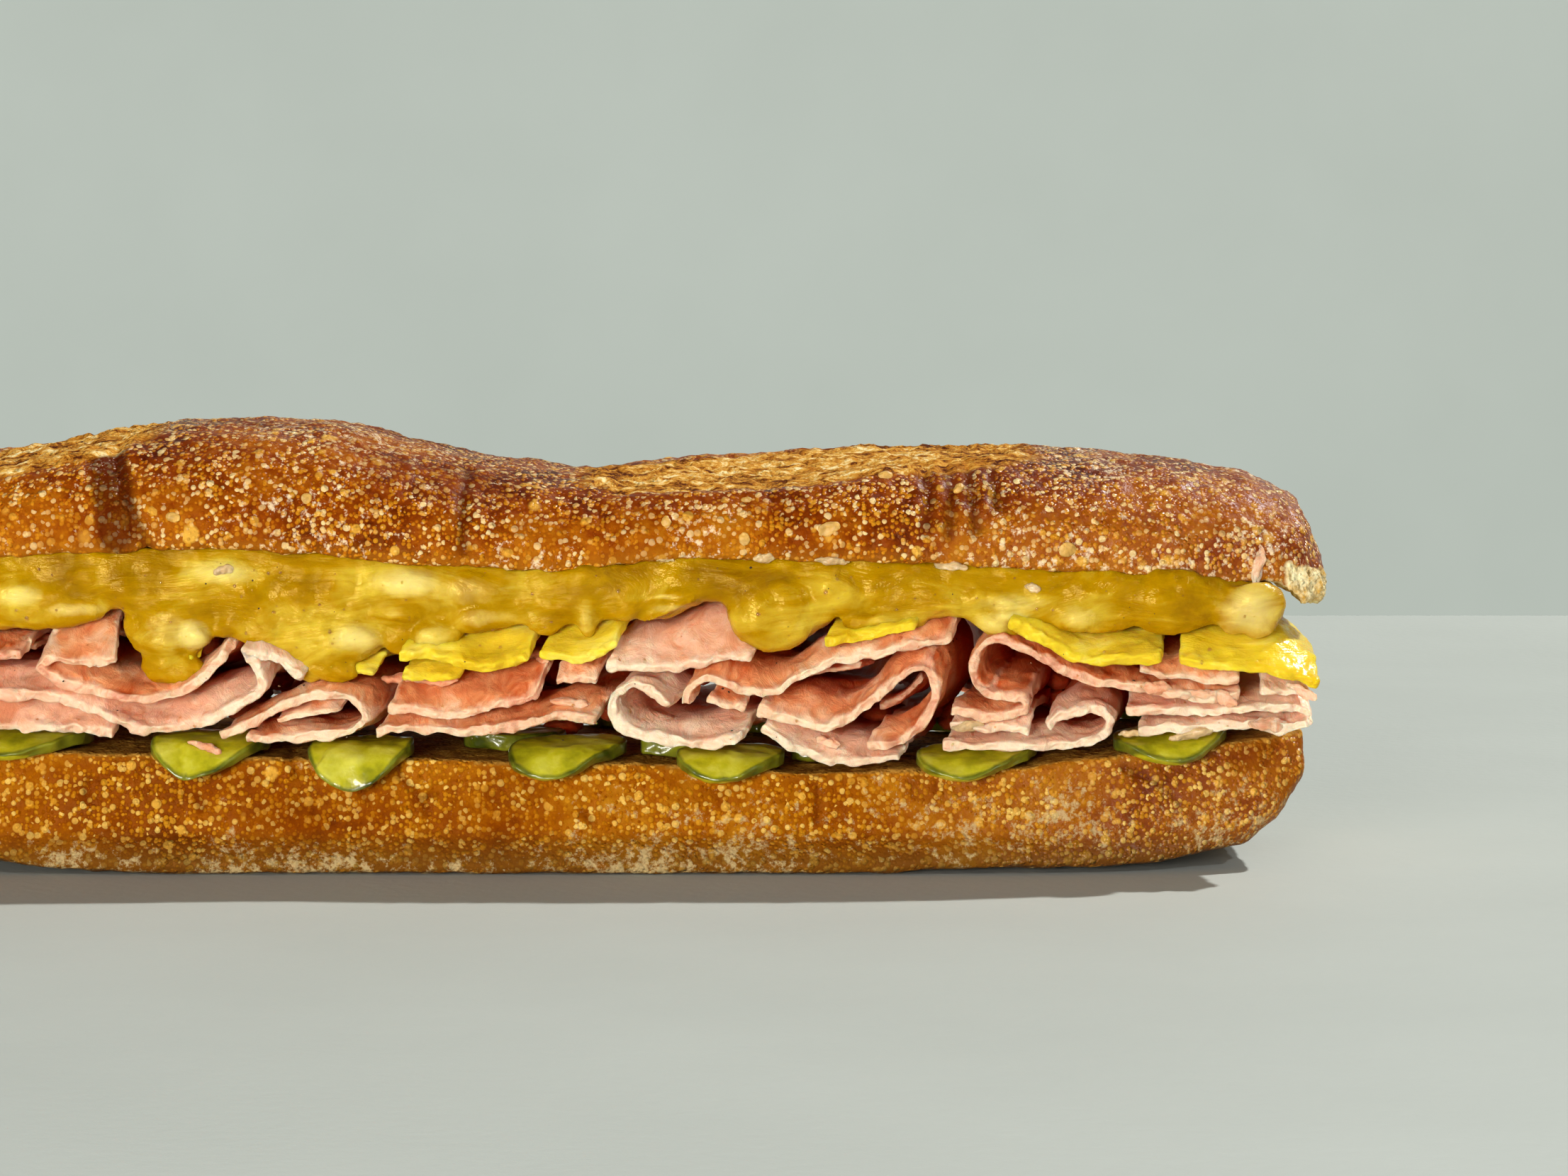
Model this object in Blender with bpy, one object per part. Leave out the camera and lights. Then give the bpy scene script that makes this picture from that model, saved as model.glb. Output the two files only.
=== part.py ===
"""A hot submarine sandwich: a split crusty loaf filled with gherkin slices, folded ham and melted cheese.

X runs along the loaf, -Y is its front and +Z is up. It stands on z = 0, with the origin under its middle.
Every length below is in millimetres, and make_mesh turns them into metres.
"""

import math
from collections import namedtuple

import bpy
from mathutils import Matrix, Vector, noise

MM = 0.001
LENGTH = 300.0
HALF_WIDTH = 37.5
GHERKIN_GAP = 0.5

# The loaf: lines along X, each through (x, height) or (x, half width)
LID_CREST = (
    (-149.5, 64), (-148, 70), (-142, 76.5), (-132, 80.5), (-110, 82.6), (-90, 87.0), (-62, 88.5),
    (-46, 87.6), (-30, 83.4), (-12, 79.6), (4, 78), (24, 80.4), (60, 82.6), (92, 82.9),
    (122, 80.4), (136, 77.8), (145, 72.5), (148.6, 67), (149.5, 63),
)
LID_EDGE = (
    (-150, 53), (-144, 53.6), (-139, 59), (-110, 62.6), (-66, 64.2), (-28, 61.2), (0, 59.6), (20, 62.2),
    (60, 61.6), (104, 59.6), (132, 57.4), (140, 57.2), (144.5, 52.8), (150, 52.4),
)
LID_HALF_WIDTH = (
    (-150, 23), (-146, 28), (-137, 32.5), (-118, 36.2), (-90, HALF_WIDTH), (0, HALF_WIDTH),
    (95, HALF_WIDTH), (120, 36.2), (138, 32.5), (146.5, 28), (150, 23),
)
HEEL_EDGE = (
    (-147, 25.5), (-130, 24), (-90, 23.6), (-40, 22.4), (10, 21.8), (50, 19.6), (66, 20.4), (90, 20.6),
    (99, 22.2), (120, 23.8), (146, 26.8),
)
HEEL_BASE = (
    (-147, 15), (-142, 9.5), (-134, 5.8), (-118, 2.6), (-98, 0.7), (-84, 0), (62, 0), (80, 0.9),
    (100, 1.8), (120, 3.4), (136, 6.2), (143, 11), (146, 17),
)
HEEL_HALF_WIDTH = (
    (-147, 25), (-142, 29), (-132, 33), (-112, 36.6), (-90, HALF_WIDTH), (90, HALF_WIDTH),
    (112, 36.6), (132, 33), (142, 28.5), (146, 25),
)
HEEL_MOUTH = 2.6  # how far the cut edge stands back from the heel's widest line
HEEL_FLAT = 1.04  # how much of the heel's round section is cut off level at its base
HEEL_WAIST, HEEL_REST = 0.008, 84  # how much the base narrows between its corners, at -84 and 84 along it
LID_STEPS, HEEL_STEPS = 50, 42
END_CROWDING = 0.28
END_BULGE = 0.5
END_RINGS = ((0.82, 0.6), (0.4, 1.0))  # size of each ring that closes an end, and its share of the bulge
LID_LUMPS, LID_LUMP_SIZE = 0.5, 14
LID_ARC_STEPS, HEEL_ARC_STEPS, CUT_STEPS = 14, 11, 2
LID_SQUARENESS, HEEL_SQUARENESS = 2.7, 8.5

# Baker's slashes: torn skin slopes up from the lip of the front crust to the crest. Falls are (x, how far the
# lip is below the crest), and the slope ends at the line through the (x, y) points.
SLASH_FALLS = (
    (-149, 0), (-138, 4.4), (-122, 4.6), (-110, 3.4), (-100, 2.9), (-93, 3.8), (-88, 3.0), (-84, 1.0), (-79, 0),
    (1, 0), (6, 1.2), (15, 4.2), (23, 5.4), (48, 6.2), (55, 4.6), (60, 3.5), (70, 2.6), (86, 1.9), (97, 0),
)
SLASH_BACK = ((-150, 2), (-79, 20), (1, 2), (97, 24))
SLASH_FRONT = -33.0
SLASH_HOLLOW = 0.9

# Fillings run from the front face to the back one, on depth stations counted from the middle, 0 to 1
FACE = 39.0
STATIONS = (-1.0, -0.86, -0.66, 0.0, 0.7, 1.0)
DROOP_FROM = 0.66
DRIFT = 14.0
INNER_RISE = 3.6
SHEET_STEP = 4.6
RAGGED = 1.2  # how uneven the slices' edges are

# A sheet's points are (x, height of its front edge, rise to its height further in). Lean is x per rise.
Sheet = namedtuple("Sheet", "name thickness lean reach points")
HAM = (
    Sheet("end_loop", 2.3, 0, 39, (
        (-106, 43.4, 0), (-117, 42.2, 0), (-128, 43.2, 0), (-138, 43.2, 0), (-144.5, 41, 0),
        (-145, 37.6, 0),
        (-139, 36.6, 0), (-130, 38, 0), (-120, 38.4, 0), (-115, 38.2, 0))),
    Sheet("tongue", 2.3, 0, 39, (
        (-148, 30.4, 2.4), (-138, 29.6, 3), (-126, 29.4, 3.4), (-112, 29.5, 3.6), (-101, 28.8, 3.5),
        (-94, 28.2, 2.6), (-88, 27.8, 1.2))),
    Sheet("cup", 2.3, 0.5, 40, (
        (-87, 42, 6.2), (-92.5, 41.4, 6), (-98.5, 42.2, 4), (-102.4, 41.4, 1.4), (-101, 38.9, 0.2),
        (-95, 37, 0),
        (-88, 35.4, 0), (-81, 34.4, 0), (-75, 35.3, 0), (-70, 38.5, 0), (-66, 43.2, 0))),
    Sheet("fan", 2.3, 0, 39.5, (
        (-124, 35, 0), (-115, 35.3, 0), (-106, 35.6, 0), (-99, 35, 0), (-92, 33.3, 0), (-86, 29.6, 1.6),
        (-82, 27.4, 4),
        (-75, 28, 4), (-68, 30.9, 2.8), (-61.6, 34.2, 1.2), (-58.2, 38, 0), (-60.6, 42, 0),
        (-62.4, 44.1, 0), (-58.4, 43.5, 0), (-54, 40.8, 0), (-50.6, 38.4, 0))),
    Sheet("flat_loop", 2.0, 0, 40, (
        (-67, 28, 0), (-60, 30.8, 0), (-53.5, 33.8, 0), (-47, 35.4, 0), (-41, 34.8, 0), (-37.9, 31.6, 0),
        (-41, 28.6, 0), (-47, 27.4, 0), (-55, 27.4, 0), (-62, 27.4, 0))),
    Sheet("tucked_leaf", 1.4, 0, 37, ((-57, 29.6, 0), (-53, 30.4, 0), (-49, 31.2, 0), (-44, 31.6, 0))),
    Sheet("apron", 2.3, 0, 39, (
        (-34.5, 32.4, 1.6), (-28, 31.9, 2.2), (-20, 31.8, 2.6), (-12, 32.8, 4.4), (-4.6, 35.2, 4.6))),
    Sheet("shelf", 2.2, 0, 40, (
        (-36.6, 27.8, 1.6), (-30, 28.8, 1.4), (-20, 28.4, 0.8), (-12, 28.6, 0), (-5, 29.6, 0), (0.6, 31.4, 0),
        (7, 30.7, 0))),
    Sheet("ring", 2.2, 0, 41, (
        (21.4, 32.9, 0), (18.6, 35.9, 0), (14.4, 37, 0), (10.6, 35.8, 0), (9.6, 32.2, 0), (11.8, 29, 0),
        (16.4, 27.6, 0.2), (21, 26.4, 1.6), (26, 24.9, 4), (31, 25, 4.2), (36, 27.1, 2.2))),
    Sheet("pink_flap", 2.3, 0, 38.5, (
        (8.6, 40.3, 2), (14.6, 39.9, 3), (21, 40.6, 5), (28, 41.9, 8), (33, 42.8, 4.4),
        (37.4, 42.6, 0.6))),
    Sheet("inner_scrap", 2, 0, 36.5, ((-2.2, 36.8, 2), (2.4, 37.2, 2.4), (6, 36.4, 1.6))),
    Sheet("arch", 2.2, 0, 39.5, (
        (24.4, 33.2, 0), (24.6, 36.6, 0), (27.6, 39.2, 0), (31.6, 39, 0), (35.2, 36.4, 0),
        (39.4, 35.2, 0),
        (43.6, 36.2, 0), (47.6, 39.2, 0.6), (52.6, 41.6, 1.4), (58.6, 43.2, 0.8), (65, 45.3, 0),
        (71.4, 46.2, 0),
        (77, 47, 0))),
    Sheet("arch_leaf", 1.8, 0, 38, ((28.2, 34.4, 0), (32, 33.2, 0), (35.8, 32, 0))),
    Sheet("teardrop", 2.3, 0, 39.5, (
        (38.4, 32.2, 0), (45.4, 30.6, 0), (51, 29.4, 0), (56.4, 30, 0), (60.6, 33.6, 0), (64.6, 37.8, 0),
        (68.6, 41, 0), (72.2, 41, 0), (74, 37.2, 0), (73.2, 32.4, 0), (70.2, 28.4, 0), (65.2, 26, 0),
        (60, 25.7, 0))),
    Sheet("drape", 2.2, 0, 39.5, (
        (39.4, 29.2, 0), (44.4, 26.2, 0), (49, 24, 0), (55, 22.5, 0.2), (61, 22.2, 0.6),
        (66.6, 23, 0.4))),
    Sheet("s_curl", 2.2, 0, 39, (
        (133.6, 35.4, 0), (126, 35, 0), (119, 35.2, 0), (112, 36.5, 0), (105, 37.6, 0), (99, 39.4, 0),
        (94, 42.4, 0), (89, 45.3, 0), (84.6, 46.2, 0), (81.4, 43.4, 0), (80.8, 38.8, 0), (83, 35.4, 0),
        (88, 35.6, 0), (91.8, 33.8, 0), (90.2, 31.3, 0), (84, 31.2, 0), (76.2, 31.8, 0))),
    Sheet("pale_layer", 1.8, 0, 38, ((76, 28.2, 0), (82, 28.6, 0), (88, 28.4, 0), (92.2, 28.2, 0))),
    Sheet("right_loop", 2.2, 0, 40, (
        (95.6, 29.4, 0), (98.6, 31.6, 0), (103, 33, 0), (107, 32, 0), (108.4, 29.2, 0), (106, 26.6, 0),
        (101.6, 25.5, 0), (97, 25.6, 0), (90, 25.7, 0), (82, 25.3, 0), (74.8, 25.6, 0))),
    Sheet("short_leaf", 1.8, 0, 38.5, (
        (113.6, 39.4, 0), (119, 38.2, 0), (127, 38.1, 0), (133.6, 38.1, 0))),
    Sheet("hairpin", 2.2, 0, 39, (
        (111, 31.8, 0), (119, 32.1, 0), (127, 32.2, 0), (134, 32.4, 0), (141, 32.9, 0), (145.8, 32.6, 0),
        (147.6, 30.8, 0), (145.4, 29.2, 0), (139, 29, 0), (131, 29.2, 0), (122, 29, 0),
        (113.4, 28.4, 0))),
    Sheet("deep_leaf_7", 1.4, 0, 30, ((-113, 38.9, 0), (-109.4, 39.5, 0), (-105.6, 39.5, 0))),
    Sheet("deep_leaf_8", 1.4, 0, 29, ((-80, 27.9, 0), (-75, 28.1, 0), (-69.6, 28.6, 0))),
    Sheet("deep_leaf_9", 1.4, 0, 28, ((-97.6, 41.9, 0), (-93, 41.8, 0), (-88.4, 41.4, 0))),
    Sheet("deep_leaf_1", 1.6, 0, 30, ((59.8, 28.6, 0), (64.6, 29.6, 0), (68.8, 33.4, 0))),
    Sheet("deep_leaf_2", 1.6, 0, 30, ((43.6, 33.6, 0), (50, 34, 0), (56.6, 35.6, 0))),
    Sheet("deep_leaf_3", 1.4, 0, 31, ((44.4, 41.1, 0), (49, 44.4, 0))),
    Sheet("deep_leaf_5", 1.4, 0, 30, ((97.4, 28.6, 0), (102, 29.3, 0), (105.6, 29.2, 0))),
    Sheet("deep_leaf_6", 1.4, 0, 25, ((23.5, 25.7, 0), (29, 25.5, 0), (35, 26, 0))),
    Sheet("deep_leaf_4", 1.4, 0, 31, (
        (95.2, 35.4, 0), (103.6, 35.4, 0), (108.4, 34.7, 0), (112.6, 34.2, 0))),
    Sheet("end_leaf", 1.8, 0, 38, ((137.6, 36.2, 0), (142.6, 35.6, 0), (147.6, 34.6, 0))),
)
CHEESE = (
    Sheet("under_drop", 2.8, 0, 36, (
        (-83.2, 39, 1.6), (-79, 38.2, 3), (-75.4, 39, 2.4), (-72.6, 41.2, 0.6))),
    Sheet("under_lobe", 2.0, 0, 36.5, (
        (-48.4, 39.6, 0), (-45, 38.5, 0), (-41.4, 38.1, 0), (-37.4, 38.2, 0))),
    Sheet("curl", 2.6, 0, 40, (
        (-32.2, 43, 1.6), (-26, 43.6, 1.8), (-20.4, 42, 3), (-15, 40.9, 3.8), (-10, 41.9, 3),
        (-6.6, 43.4, 1.4))),
    Sheet("strip", 1.7, 0, 38.5, ((-32, 38, 0), (-26, 38.2, 0), (-20, 38.6, 0))),
    Sheet("corner", 2.4, 0, 40, (
        (-4.6, 43.6, 0.8), (0, 42.8, 1.6), (4.4, 42, 2.2), (7.4, 43.6, 2.2), (11, 45.6, 1))),
    Sheet("ham_cover", 2.4, 0, 39.5, (
        (51.6, 45.8, 0.4), (55, 46.2, 0.6), (59.4, 47.2, 0), (65, 48.6, 0), (70, 49, 0))),
    Sheet("cut_slice", 3, 0, 40, (
        (87.8, 49.5, 0), (91, 48.3, 0), (94.8, 46, 0), (99.4, 43.2, 0), (105, 41.7, 0), (112, 41.9, 0),
        (118.4, 42.3, 0))),
    Sheet("end_slice", 2.6, 0, 39.5, (
        (121.4, 41.2, 2), (128, 41, 3), (135, 40.7, 3.4), (141.4, 39.9, 2.6), (146.4, 38.4, 0.8),
        (149.2, 37.2, 0))),
)

# The melted mass hangs in lobes: middle x, half width and lowest height
Lobe = namedtuple("Lobe", "x half low")
MELT_TOP_INSET = 1.0
MELT_ROOT = 54.5
MELT_SPAN = (-142.5, 140.6)
MELT_BULGE = 2.2
MELT_LUMPS, MELT_LUMP_SIZE = 1.5, 11
MELT_TUCK = 3.0  # how far the lower edge is tucked in under the bulge
MELT_SHARES = (0.0, 0.3, 0.62, 0.88, 1.0)
MELT_STEP = 4.6
LOBES = (
    Lobe(-136, 12, 47.5), Lobe(-115, 16, 46.3), Lobe(-92, 9.4, 51), Lobe(-77.4, 8.6, 43.4),
    Lobe(-68.6, 5.4, 48.8), Lobe(-57, 12, 45.8), Lobe(-51.6, 7, 43), Lobe(-44, 10.4, 40.3),
    Lobe(-19, 17, 48.8), Lobe(2, 9, 47.4), Lobe(15, 9, 48.4), Lobe(28.5, 7.5, 52.6),
    Lobe(43, 9.6, 44.8), Lobe(56, 10, 50.2),
    Lobe(78, 10, 49.4), Lobe(88, 8, 52.6), Lobe(106, 14, 46), Lobe(126, 17, 46.4), Lobe(141, 7, 48),
)

# Gherkin slices lie on the heel: x of the middle, how far the rim goes past the bend, and radius
Slice = namedtuple("Slice", "x past radius")
GHERKIN_THICKNESS = 2.6
GHERKIN_SEGMENTS = 11
GHERKIN_RINGS = (0.55, 1.0)
BEND_INSET = 1.9  # how far in from the heel's widest line the slices start to bend down
BEND_RADIUS = 5.0
GHERKINS = (
    Slice(-136, 4, 9.5), Slice(-109, 5.1, 13), Slice(-72, 7.5, 12), Slice(-41.4, 9, 10.8),
    Slice(-18.5, -10, 10),
    Slice(-1.6, 7.3, 11.4), Slice(17, -8, 9), Slice(31, 6.9, 10.6), Slice(43.5, -13, 5.4),
    Slice(80, 6.3, 12.8), Slice(119.4, 6.5, 12.2),
)
BACK_GHERKINS = (
    Slice(-122, 3, 10.4), Slice(-99, 5.6, 10), Slice(-63, 6, 9), Slice(-22, 5.4, 10.8),
    Slice(9, 6.4, 11.8),
    Slice(34, 5, 8), Slice(82, 6, 11.6), Slice(121, 5.2, 11),
)

CRUST = ("crust", (0.50, 0.20, 0.045, 1), 0.45)
MEAT = ("ham", (0.80, 0.42, 0.33, 1), 0.4)
CHEESE_FINISH = ("cheese", (0.82, 0.62, 0.10, 1), 0.3)
GHERKIN_FINISH = ("gherkin", (0.38, 0.44, 0.06, 1), 0.3)


def ease(t):
    """0 to 1 with level ends."""
    t = min(max(t, 0.0), 1.0)
    return t * t * (3 - 2 * t)


def spline(points, at):
    """The point at place `at` of a smooth curve through points: 0 is the first point and 1 the second."""
    last = len(points) - 1
    i = min(max(int(at), 0), last - 1)
    t = at - i
    before, here, there, after = (Vector(points[min(max(k, 0), last)]) for k in (i - 1, i, i + 1, i + 2))
    return (
        here
        + (there - before) * (0.5 * t)
        + (before - here * 2.5 + there * 2 - after * 0.5) * t**2
        + (here * 1.5 - before * 0.5 - there * 1.5 + after * 0.5) * t**3
    )


def along(line, x):
    """The height of a line through (x, height) points, with no overshoot between them."""
    if x <= line[0][0]:
        return line[0][1]
    for (x0, z0), (x1, z1) in zip(line, line[1:]):
        if x <= x1:
            return z0 + (z1 - z0) * ease_gently((x - x0) / (x1 - x0))
    return line[-1][1]


def ease_gently(t):
    """Halfway between a straight line and ease."""
    return 0.5 * (t + ease(t))


def lumps(x, y, z, size, seed):
    """Smooth unevenness from -1 to 1, in lumps about `size` across."""
    return noise.noise(Vector((x / size + seed, y / size, z / size)))


def make_material(name, colour, roughness):
    material = bpy.data.materials.get(name) or bpy.data.materials.new(name)
    material.use_nodes = True
    shader = material.node_tree.nodes["Principled BSDF"]
    shader.inputs["Base Color"].default_value = colour
    shader.inputs["Roughness"].default_value = roughness
    return material


def make_mesh(name, points, faces, finish):
    mesh = bpy.data.meshes.new(name)
    mesh.from_pydata([Vector(p) * MM for p in points], [], faces)
    mesh.validate()
    made = bpy.data.objects.new(name, mesh)
    bpy.context.scene.collection.objects.link(made)
    mesh.materials.append(make_material(*finish))
    return made


def loft(name, rings, finish):
    """A closed body through equal rings of points, its two ends filled."""
    count = len(rings[0])
    points = [p for ring in rings for p in ring]
    faces = []
    for i in range(len(rings) - 1):
        for j in range(count):
            k = (j + 1) % count
            faces.append((i * count + k, i * count + j, (i + 1) * count + j, (i + 1) * count + k))
    faces.append(tuple(range(count)))
    faces.append(tuple((len(rings) - 1) * count + j for j in reversed(range(count))))
    return make_mesh(name, points, faces, finish)


def superellipse(turn, squareness):
    """(across, up) of a rounded box's outline at an angle of 0 to pi, each within 1."""
    power = 2 / squareness
    across = math.copysign(abs(math.cos(turn)) ** power, math.cos(turn))
    return across, abs(math.sin(turn)) ** power


def torn_height(x, y, crest):
    """The height of the torn skin in a slash. It is above the crest where there's no slash."""
    fall, back = along(SLASH_FALLS, x), along(SLASH_BACK, x)
    share = min(max((y - SLASH_FRONT) / (back - SLASH_FRONT), 0), 1)
    hollow = SLASH_HOLLOW * math.sin(math.pi * share) * ease(fall / 3)
    clear = 30 * ease(1 - fall / 1.5)
    return crest - fall * (1 - share) - hollow + clear + 30 * ease((y - back) / 6)


def end_rings(ring, x, bulge):
    """Two smaller rings that close a loaf's trimmed end, a little proud of it."""
    middle = Vector((sum(p[1] for p in ring) / len(ring), sum(p[2] for p in ring) / len(ring)))
    made = []
    for share, proud in END_RINGS:
        made.append([
            (x + bulge * proud, *(middle + (Vector(p[1:]) - middle) * share))
            for p in ring
        ])
    return made


def stations(line, steps):
    """X stations from end to end of a line, closer together towards the ends."""
    middle, half = (line[0][0] + line[-1][0]) / 2, (line[-1][0] - line[0][0]) / 2
    made = []
    for i in range(steps + 1):
        even = 2 * i / steps - 1
        made.append(middle + half * (even + (math.sin(math.pi / 2 * even) - even) * END_CROWDING))
    return made


def lid_ring(x):
    """The lid's section at x: front edge, crest, back edge, then the cut face."""
    crest, edge, half = along(LID_CREST, x), along(LID_EDGE, x), along(LID_HALF_WIDTH, x)
    ring = []
    for i in range(LID_ARC_STEPS + 1):
        across, up = superellipse(math.pi * i / LID_ARC_STEPS, LID_SQUARENESS)
        y, z = -half * across, edge + (crest - edge) * up
        z = min(z, torn_height(x, y, crest))
        z += LID_LUMPS * lumps(x, y, z, LID_LUMP_SIZE, 3) * up
        y += LID_LUMPS * lumps(x, y, z, LID_LUMP_SIZE, 8) * abs(across)
        ring.append((x, y, z))
    first, last = ring[0], ring[-1]
    for i in range(1, CUT_STEPS):
        t = i / CUT_STEPS
        ring.append((x, last[1] + (first[1] - last[1]) * t, edge))
    return ring


def make_lid():
    """The top half of the loaf, with its slashes and its trimmed ends."""
    xs = stations(LID_CREST, LID_STEPS)
    rings = [lid_ring(x) for x in xs]
    rings = end_rings(rings[0], xs[0], -END_BULGE)[::-1] + rings + end_rings(rings[-1], xs[-1], END_BULGE)
    return loft("bread_lid", rings, CRUST)


def heel_ring(x):
    """The heel's section at x: front cut edge, base, back cut edge, then the cut face."""
    edge, base, half = along(HEEL_EDGE, x), along(HEEL_BASE, x), along(HEEL_HALF_WIDTH, x)
    ring = []
    for i in range(HEEL_ARC_STEPS + 1):
        across, down = superellipse(math.pi * i / HEEL_ARC_STEPS, HEEL_SQUARENESS)
        inset = HEEL_MOUTH * (1 - ease(down / 0.55))
        y = -half * across + math.copysign(inset, across)
        waist = HEEL_WAIST * down
        across_waist, along_waist = 1 - (x / HEEL_REST) ** 2, 1 - across**2
        z = edge - (edge - base) * min(down * HEEL_FLAT, 1)
        ring.append((x * (1 - waist * along_waist), y * (1 - waist * across_waist), z))
    first, last = ring[0], ring[-1]
    for i in range(1, CUT_STEPS):
        t = i / CUT_STEPS
        ring.append((x, last[1] + (first[1] - last[1]) * t, edge))
    return ring[::-1]


def make_heel():
    """The bottom half of the loaf, flat underneath, its ends lifting off the table."""
    xs = stations(HEEL_EDGE, HEEL_STEPS)
    rings = [heel_ring(x) for x in xs]
    rings = end_rings(rings[0], xs[0], -END_BULGE)[::-1] + rings + end_rings(rings[-1], xs[-1], END_BULGE)
    return loft("bread_heel", rings, CRUST)


def drifted(x, y, z):
    """A filling's point after the sideways bow and the inward rise that all the fillings share."""
    moved = x + DRIFT * max(1 - abs(y) / FACE, 0) * (1 - (2 * x / LENGTH) ** 2)
    floor, ceiling = along(HEEL_EDGE, x), along(LID_EDGE, x)
    share = min(max((z - floor) / (ceiling - floor), 0), 1)
    low, high = along(HEEL_EDGE, moved) - floor, along(LID_EDGE, moved) - ceiling
    inside = 1 - ease((abs(y) / FACE - DROOP_FROM) / (1 - DROOP_FROM))
    rise = INNER_RISE * math.sin(math.pi * share) * inside
    return Vector((moved, y, z + low + (high - low) * share + rise))


def sheet_grid(sheet, steps):
    """Rows of points along a sheet's middle surface, one row for each step along it."""
    rows = []
    for i in range(steps + 1):
        x, low, rise = spline(sheet.points, i / steps * (len(sheet.points) - 1))
        ragged = RAGGED * lumps(x, low, 0, 5, 20)
        row = []
        for station in STATIONS:
            y = station * (sheet.reach - abs(ragged) * (abs(station) == 1))
            inside = 1 - ease((abs(station) - DROOP_FROM) / (1 - DROOP_FROM))
            row.append(drifted(x - sheet.lean * rise * inside, y, low + rise * inside))
        rows.append(row)
    return rows


def sheet_normals(rows):
    """The sheet's normal at each point of the grid."""
    made = []
    for i, row in enumerate(rows):
        here = []
        for j in range(len(row)):
            run = rows[min(i + 1, len(rows) - 1)][j] - rows[max(i - 1, 0)][j]
            deep = row[min(j + 1, len(row) - 1)] - row[max(j - 1, 0)]
            here.append(run.cross(deep).normalized())
        made.append(here)
    return made


def path_length(points):
    return sum((Vector(b[:2]) - Vector(a[:2])).length for a, b in zip(points, points[1:]))


def make_sheet(sheet, prefix, finish):
    """A folded slice with an even thickness. Both faces are split into triangles alike."""
    steps = max(3, round(path_length(sheet.points) / SHEET_STEP), len(sheet.points) - 1)
    rows = sheet_grid(sheet, steps)
    normals = sheet_normals(rows)
    deep = len(STATIONS)
    half = sheet.thickness / 2
    upper = [p + n * half for row, ns in zip(rows, normals) for p, n in zip(row, ns)]
    lower = [p - n * half for row, ns in zip(rows, normals) for p, n in zip(row, ns)]
    below = len(upper)
    faces = []
    for i in range(steps):
        for j in range(deep - 1):
            a, b, c, d = i * deep + j, i * deep + j + 1, (i + 1) * deep + j + 1, (i + 1) * deep + j
            faces += [(d, c, a), (c, b, a)]
            faces += [(below + a, below + c, below + d), (below + a, below + b, below + c)]
    rim = [j for j in range(deep)]
    rim += [i * deep + deep - 1 for i in range(1, steps + 1)]
    rim += [steps * deep + j for j in range(deep - 2, -1, -1)]
    rim += [i * deep for i in range(steps - 1, 0, -1)]
    for a, b in zip(rim, rim[1:] + rim[:1]):
        faces += [(a, b, below + b), (a, below + b, below + a)]
    return make_mesh(f"{prefix}_{sheet.name}", upper + lower, faces, finish)


def melt_low(x):
    """The melted mass's lower edge at x: the lowest of the lobes that hang there."""
    lows = [MELT_ROOT]
    for lobe in LOBES:
        u = (x - lobe.x) / lobe.half
        if abs(u) < 1:
            lows.append(MELT_ROOT - (MELT_ROOT - lobe.low) * math.sqrt(1 - u * u) ** 0.8)
    return min(lows)


def melt_ring(x):
    """The melted mass's section at x: bulging front and back faces, level top and hanging lower edge."""
    low = melt_low(x)
    half = min(along(LID_HALF_WIDTH, x) - 0.5, 36.5)
    front = []
    for share in MELT_SHARES:
        bulge = MELT_BULGE * math.sin(math.pi * share**0.8)
        bulge += MELT_LUMPS * lumps(x, share * 12, 0, MELT_LUMP_SIZE, 5)
        tuck = MELT_TUCK * ease((share - 0.8) / 0.2)
        front.append((-half - bulge * (0 < share < 1) + tuck, share))
    flat = FACE * DROOP_FROM
    back = [(-y, share) for y, share in reversed(front)]
    ring = [*front, (-flat, 1), (0, 1), (flat, 1), *back, (flat, 0), (0, 0), (-flat, 0)]
    top = along(LID_EDGE, x) - MELT_TOP_INSET
    return [drifted(x, y, top + (low - top) * share) for y, share in ring]


def make_melt():
    """The melted cheese under the lid, one mass from end to end."""
    first, last = MELT_SPAN
    steps = round((last - first) / MELT_STEP)
    rings = [melt_ring(first + (last - first) * i / steps) for i in range(steps + 1)]
    return loft("cheese_melt", [ring[::-1] for ring in rings], CHEESE_FINISH)


def bent(x, y, z):
    """A point of a flat slice after it has bent down over the heel's front or back edge."""
    line = along(HEEL_HALF_WIDTH, x) - BEND_INSET
    past = abs(y) - line
    if past <= 0:
        return x, y, z
    turn = past / BEND_RADIUS
    level = BEND_RADIUS + z
    return x, math.copysign(line + level * math.sin(turn), y), level * math.cos(turn) - BEND_RADIUS


def disc_points(slice_, side, height):
    """One face of a slightly oval slice: its middle, then its rings. Side is -1 at the front."""
    middle = side * (along(HEEL_HALF_WIDTH, slice_.x) - BEND_INSET + slice_.past - slice_.radius)
    points = [(slice_.x, middle, height)]
    for share in GHERKIN_RINGS:
        for i in range(GHERKIN_SEGMENTS):
            turn = 2 * math.pi * i / GHERKIN_SEGMENTS
            reach = slice_.radius * share * (1 + 0.05 * math.cos(2 * turn + slice_.x))
            points.append((slice_.x + reach * math.cos(turn), middle + reach * math.sin(turn), height))
    return points


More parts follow.
